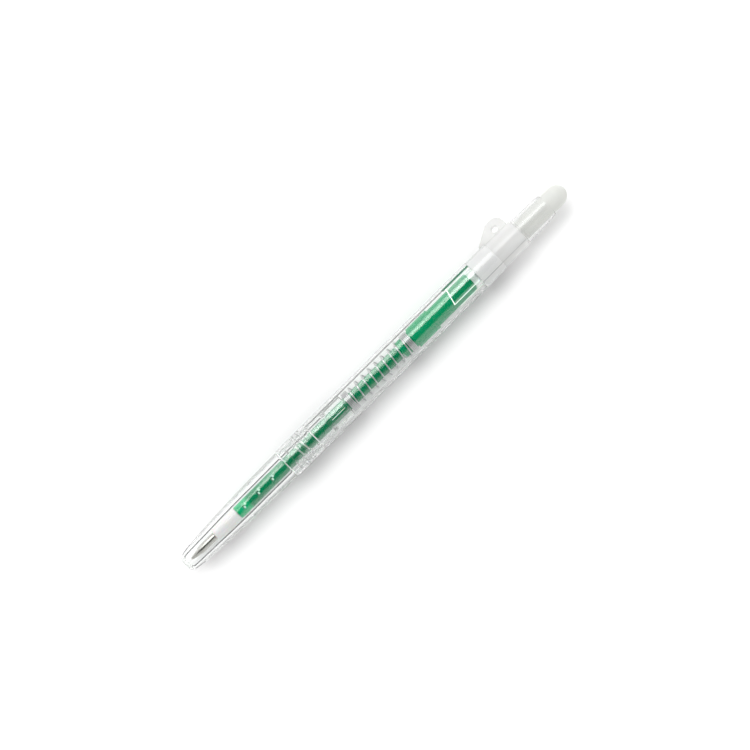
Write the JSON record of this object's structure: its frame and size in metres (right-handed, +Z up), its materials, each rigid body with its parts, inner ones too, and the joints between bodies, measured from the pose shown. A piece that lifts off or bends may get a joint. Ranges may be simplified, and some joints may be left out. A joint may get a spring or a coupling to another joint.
{
  "type": "retractable gel pen",
  "caption": "Push-button gel ink pen with a see-through screwed barrel, green refill, return spring, rotary cam and a fin with a strap hole.",
  "frame": {"origin": "middle of the footprint on the surface that the pen lies on", "axes": "+X along the pen from the nib to the push button, +Y towards the strap fin, +Z up"},
  "size_m": [0.1442, 0.0128, 0.0092],
  "materials": {
    "clear_barrel": "clear polished plastic",
    "milky_plastic": "milky translucent plastic, satin",
    "white_plastic": "white moulded plastic",
    "refill_plastic": "clear, slightly hazy plastic",
    "green_ink": "green gel ink behind plastic",
    "follower_grease": "clear grease",
    "tip_steel": "turned stainless steel",
    "spring_steel": "bright spring wire"
  },
  "bodies": {
    "rear_assembly": {"rear_barrel": "clear_barrel", "lug_sleeve": "milky_plastic", "cam_guide_tube": "clear_barrel"},
    "spring": {"return_spring": "spring_steel"},
    "front_barrel": {"front_barrel": "clear_barrel"},
    "push_button": {"push_button": "milky_plastic", "plunger_cam": "milky_plastic"},
    "refill": {"refill_tube": "refill_plastic", "ink_column": "green_ink", "ink_follower": "follower_grease", "tip_holder": "white_plastic", "writing_tip": "tip_steel"},
    "rotor_cam": {"rotor_cam": "white_plastic"},
    "writing_ball": {"writing_ball": "tip_steel"}
  },
  "joints": [
    {"name": "button_press", "type": "slide", "parent": "rear_assembly", "child": "push_button", "axis": [-1, 0, 0], "range_m": [0, 0.0055], "stiffness_N_per_m": 250, "springref_m": -0.008},
    {"name": "refill_advance", "type": "slide", "parent": "rear_assembly", "child": "refill", "axis": [-1, 0, 0], "range_m": [0, 0.0055], "deforming": ["return_spring"]},
    {"name": "rotor_index", "type": "hinge", "parent": "refill", "child": "rotor_cam", "pos_m": [0.04405, -0.00178, 0.00458], "axis": [1, 0, 0], "range_deg": [0, 22.5]},
    {"name": "ball_roll", "type": "hinge", "parent": "refill", "child": "writing_ball", "pos_m": [-0.0695, -0.00178, 0.00458], "axis": [0, 1, 0], "continuous": true},
    {"name": "front_barrel_advance", "type": "slide", "parent": "rear_assembly", "child": "spring", "axis": [-1, 0, 0], "range_m": [0, 0.00624]},
    {"name": "front_barrel_unscrew", "type": "hinge", "parent": "spring", "child": "front_barrel", "pos_m": [-0.03375, -0.00178, 0.00458], "axis": [-1, 0, 0], "range_deg": [0, 1080]}
  ],
  "couplings": [
    {"joint": "refill_advance", "follows": "button_press", "ratio": 1},
    {"joint": "rotor_index", "follows": "button_press", "rad_per_m": 71.4},
    {"joint": "front_barrel_unscrew", "follows": "front_barrel_advance", "rad_per_m": 3020.8}
  ]
}
